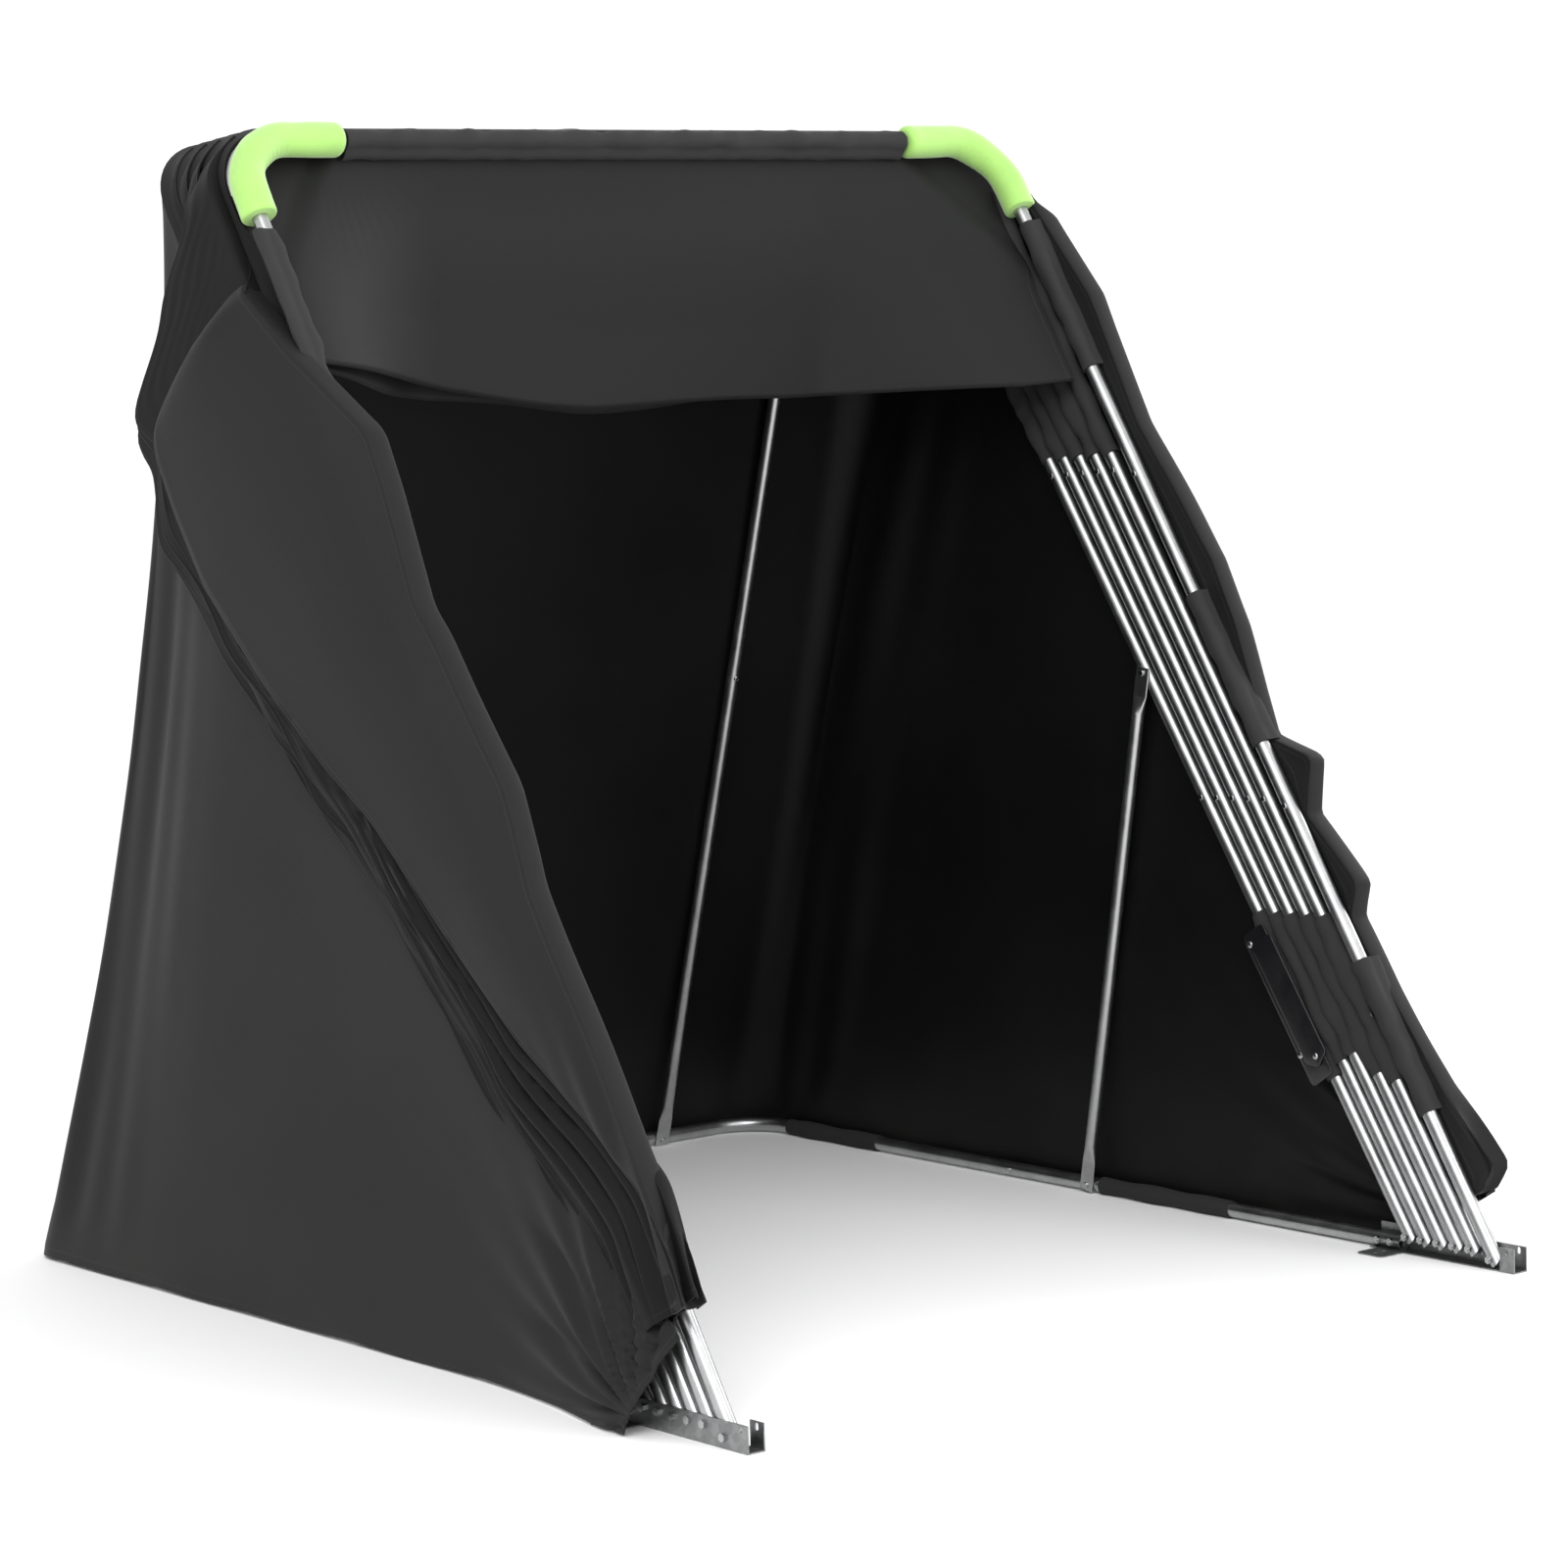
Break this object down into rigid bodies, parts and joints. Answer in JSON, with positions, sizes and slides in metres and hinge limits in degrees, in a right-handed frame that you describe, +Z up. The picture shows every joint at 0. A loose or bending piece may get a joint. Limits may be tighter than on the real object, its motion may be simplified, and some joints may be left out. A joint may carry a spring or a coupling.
{
  "type": "folding vehicle shelter",
  "caption": "Folding shelter: tube hoops pivot on two ground brackets and spread a pleated fabric cover; shown folded back on its braced rear frame, with foam pads on the front corners.",
  "frame": {"origin": "on the ground, at the centre of the folded-back shelter's footprint box", "axes": "+X to the right and +Y to the rear, seen from the open front; +Z up"},
  "size_m": [1.486, 1.7052, 1.6346],
  "materials": {
    "tube_steel": "bright zinc-plated steel tube",
    "bracket_steel": "zinc-plated pressed sheet, dull grey",
    "fastener_steel": "bright zinc",
    "cover_cloth": "coated Oxford weave, satin black",
    "sleeve_cloth": "coated Oxford weave, black",
    "pad_foam": "closed-cell foam, matt lime green",
    "strap_vinyl": "coated webbing, slight gloss"
  },
  "bodies": {
    "base": {"left_bracket": "bracket_steel", "right_bracket": "bracket_steel", "bracket_bolts": "fastener_steel", "bracket_nuts": "fastener_steel", "ground_front_tube_left": "tube_steel", "ground_front_tube_right": "tube_steel", "ground_corner_tube_left": "tube_steel", "ground_corner_tube_right": "tube_steel", "ground_rear_tube": "tube_steel", "side_brace_left": "tube_steel", "side_brace_right": "tube_steel", "rear_brace_left": "tube_steel", "rear_brace_right": "tube_steel", "frame_screws": "fastener_steel", "ground_sleeves": "sleeve_cloth", "cover_left_wall": "cover_cloth", "cover_rear_wall": "cover_cloth", "cover_right_wall": "cover_cloth", "tie_strap": "strap_vinyl", "hoop_1_left_leg": "tube_steel", "hoop_1_right_leg": "tube_steel", "hoop_1_arch": "tube_steel", "hoop_1_sleeves": "sleeve_cloth"},
    "hoop_2": {"hoop_2_left_leg": "tube_steel", "hoop_2_right_leg": "tube_steel", "hoop_2_arch": "tube_steel", "hoop_2_sleeves": "sleeve_cloth", "hoop_2_screws": "fastener_steel", "gusset_2": "cover_cloth"},
    "hoop_3": {"hoop_3_left_leg": "tube_steel", "hoop_3_right_leg": "tube_steel", "hoop_3_arch": "tube_steel", "hoop_3_sleeves": "sleeve_cloth", "hoop_3_screws": "fastener_steel", "gusset_3": "cover_cloth"},
    "hoop_4": {"hoop_4_left_leg": "tube_steel", "hoop_4_right_leg": "tube_steel", "hoop_4_arch": "tube_steel", "hoop_4_sleeves": "sleeve_cloth", "hoop_4_screws": "fastener_steel", "gusset_4": "cover_cloth"},
    "hoop_5": {"hoop_5_left_leg": "tube_steel", "hoop_5_right_leg": "tube_steel", "hoop_5_arch": "tube_steel", "hoop_5_sleeves": "sleeve_cloth", "hoop_5_screws": "fastener_steel", "gusset_5": "cover_cloth"},
    "hoop_6": {"hoop_6_left_leg": "tube_steel", "hoop_6_right_leg": "tube_steel", "hoop_6_arch": "tube_steel", "hoop_6_sleeves": "sleeve_cloth", "hoop_6_screws": "fastener_steel", "gusset_6": "cover_cloth", "corner_pad_left": "pad_foam", "corner_pad_right": "pad_foam"}
  },
  "joints": [
    {"name": "hoop_2_fold", "type": "hinge", "parent": "base", "child": "hoop_2", "pos_m": [0, -0.67855, 0.024], "axis": [1, 0, 0], "range_deg": [0, 24.5], "deforming": ["gusset_2"]},
    {"name": "hoop_3_fold", "type": "hinge", "parent": "base", "child": "hoop_3", "pos_m": [0, -0.70855, 0.024], "axis": [1, 0, 0], "range_deg": [0, 49], "deforming": ["gusset_3"]},
    {"name": "hoop_4_fold", "type": "hinge", "parent": "base", "child": "hoop_4", "pos_m": [0, -0.73855, 0.024], "axis": [1, 0, 0], "range_deg": [0, 73], "deforming": ["gusset_4"]},
    {"name": "hoop_5_fold", "type": "hinge", "parent": "base", "child": "hoop_5", "pos_m": [0, -0.76855, 0.024], "axis": [1, 0, 0], "range_deg": [0, 97.5], "deforming": ["gusset_5"]},
    {"name": "hoop_6_fold", "type": "hinge", "parent": "base", "child": "hoop_6", "pos_m": [0, -0.80655, 0.014], "axis": [1, 0, 0], "range_deg": [0, 121.5], "deforming": ["gusset_6"]}
  ],
  "couplings": [
    {"joint": "hoop_2_fold", "follows": "hoop_6_fold", "ratio": 0.2},
    {"joint": "hoop_3_fold", "follows": "hoop_6_fold", "ratio": 0.4},
    {"joint": "hoop_4_fold", "follows": "hoop_6_fold", "ratio": 0.6},
    {"joint": "hoop_5_fold", "follows": "hoop_6_fold", "ratio": 0.8}
  ]
}
